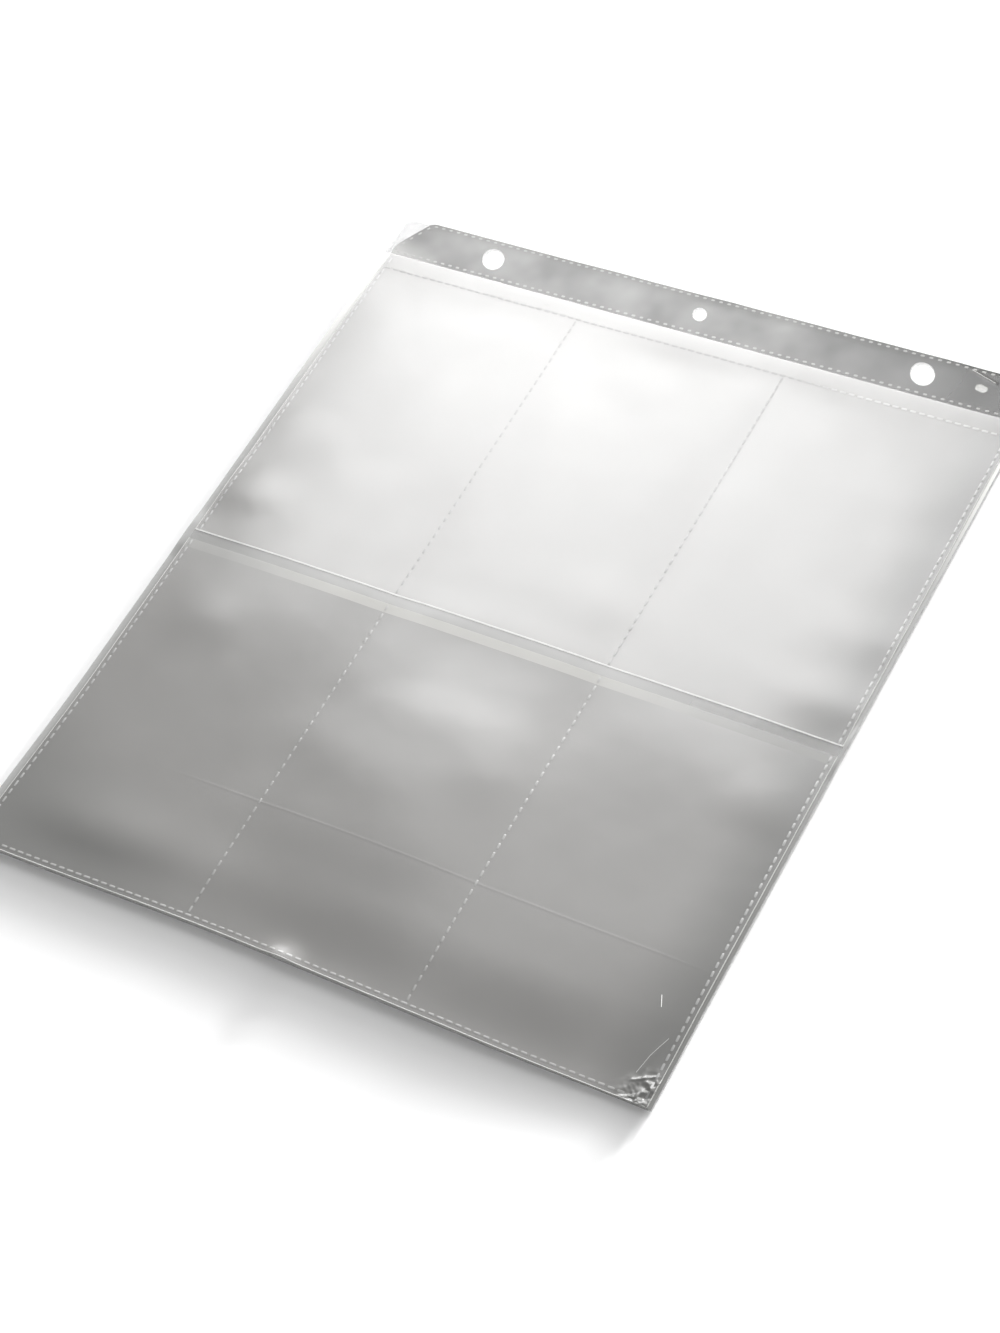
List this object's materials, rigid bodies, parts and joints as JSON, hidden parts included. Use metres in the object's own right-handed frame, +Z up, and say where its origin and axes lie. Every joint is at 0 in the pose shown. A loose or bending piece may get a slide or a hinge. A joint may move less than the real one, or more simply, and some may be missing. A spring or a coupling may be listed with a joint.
{
  "type": "sheet protector",
  "caption": "Small pile of clear film binder pages with print pockets in rows and columns, and a punched binding strip that each page folds along.",
  "frame": {"origin": "middle of the pile's underside, where it lies on a table", "axes": "X along the binding strip, +Y towards the strip, +Z up out of the front films"},
  "size_m": [0.3206, 0.3648, 0.0033],
  "materials": {
    "clear_film": "clear polypropylene film, glossy, faintly wavy",
    "strip_film": "greyer polypropylene film of the binding strip, glossy",
    "fused_film": "heat-sealed polypropylene, frosted"
  },
  "bodies": {
    "binding": {"page1_strip_back": "clear_film", "page1_strip_seam": "fused_film", "page1_binding_strip": "strip_film", "page2_strip_back": "clear_film", "page2_strip_seam": "fused_film", "page2_binding_strip": "strip_film", "page3_strip_back": "clear_film", "page3_strip_seam": "fused_film", "page3_binding_strip": "strip_film", "page4_strip_back": "clear_film", "page4_strip_seam": "fused_film", "page4_binding_strip": "strip_film", "page5_strip_back": "clear_film", "page5_strip_seam": "fused_film", "page5_binding_strip": "strip_film"},
    "page1_leaf": {"page1_back_sheet": "clear_film", "page1_upper_seams": "fused_film", "page1_upper_front": "clear_film", "page1_lower_seams": "fused_film", "page1_lower_front": "clear_film"},
    "page2_leaf": {"page2_back_sheet": "clear_film", "page2_upper_seams": "fused_film", "page2_upper_front": "clear_film", "page2_lower_seams": "fused_film", "page2_lower_front": "clear_film"},
    "page3_leaf": {"page3_back_sheet": "clear_film", "page3_upper_seams": "fused_film", "page3_upper_front": "clear_film", "page3_lower_seams": "fused_film", "page3_lower_front": "clear_film"},
    "page4_leaf": {"page4_back_sheet": "clear_film", "page4_upper_seams": "fused_film", "page4_upper_front": "clear_film", "page4_lower_seams": "fused_film", "page4_lower_front": "clear_film"},
    "page5_leaf": {"page5_back_sheet": "clear_film", "page5_upper_seams": "fused_film", "page5_upper_front": "clear_film", "page5_lower_seams": "fused_film", "page5_lower_front": "clear_film"}
  },
  "joints": [
    {"name": "page1_fold", "type": "hinge", "parent": "binding", "child": "page1_leaf", "pos_m": [0, 0.15987, 0.00335], "axis": [-1, 0, 0], "range_deg": [0, 22]},
    {"name": "page2_fold", "type": "hinge", "parent": "page1_leaf", "child": "page2_leaf", "pos_m": [0, 0.15987, 0.00335], "axis": [-1, 0, 0], "range_deg": [0, 22]},
    {"name": "page3_fold", "type": "hinge", "parent": "page2_leaf", "child": "page3_leaf", "pos_m": [0, 0.15987, 0.00335], "axis": [-1, 0, 0], "range_deg": [0, 22]},
    {"name": "page4_fold", "type": "hinge", "parent": "page3_leaf", "child": "page4_leaf", "pos_m": [0, 0.15987, 0.00335], "axis": [-1, 0, 0], "range_deg": [0, 22]},
    {"name": "page5_fold", "type": "hinge", "parent": "page4_leaf", "child": "page5_leaf", "pos_m": [0, 0.15987, 0.00335], "axis": [-1, 0, 0], "range_deg": [0, 88]}
  ]
}
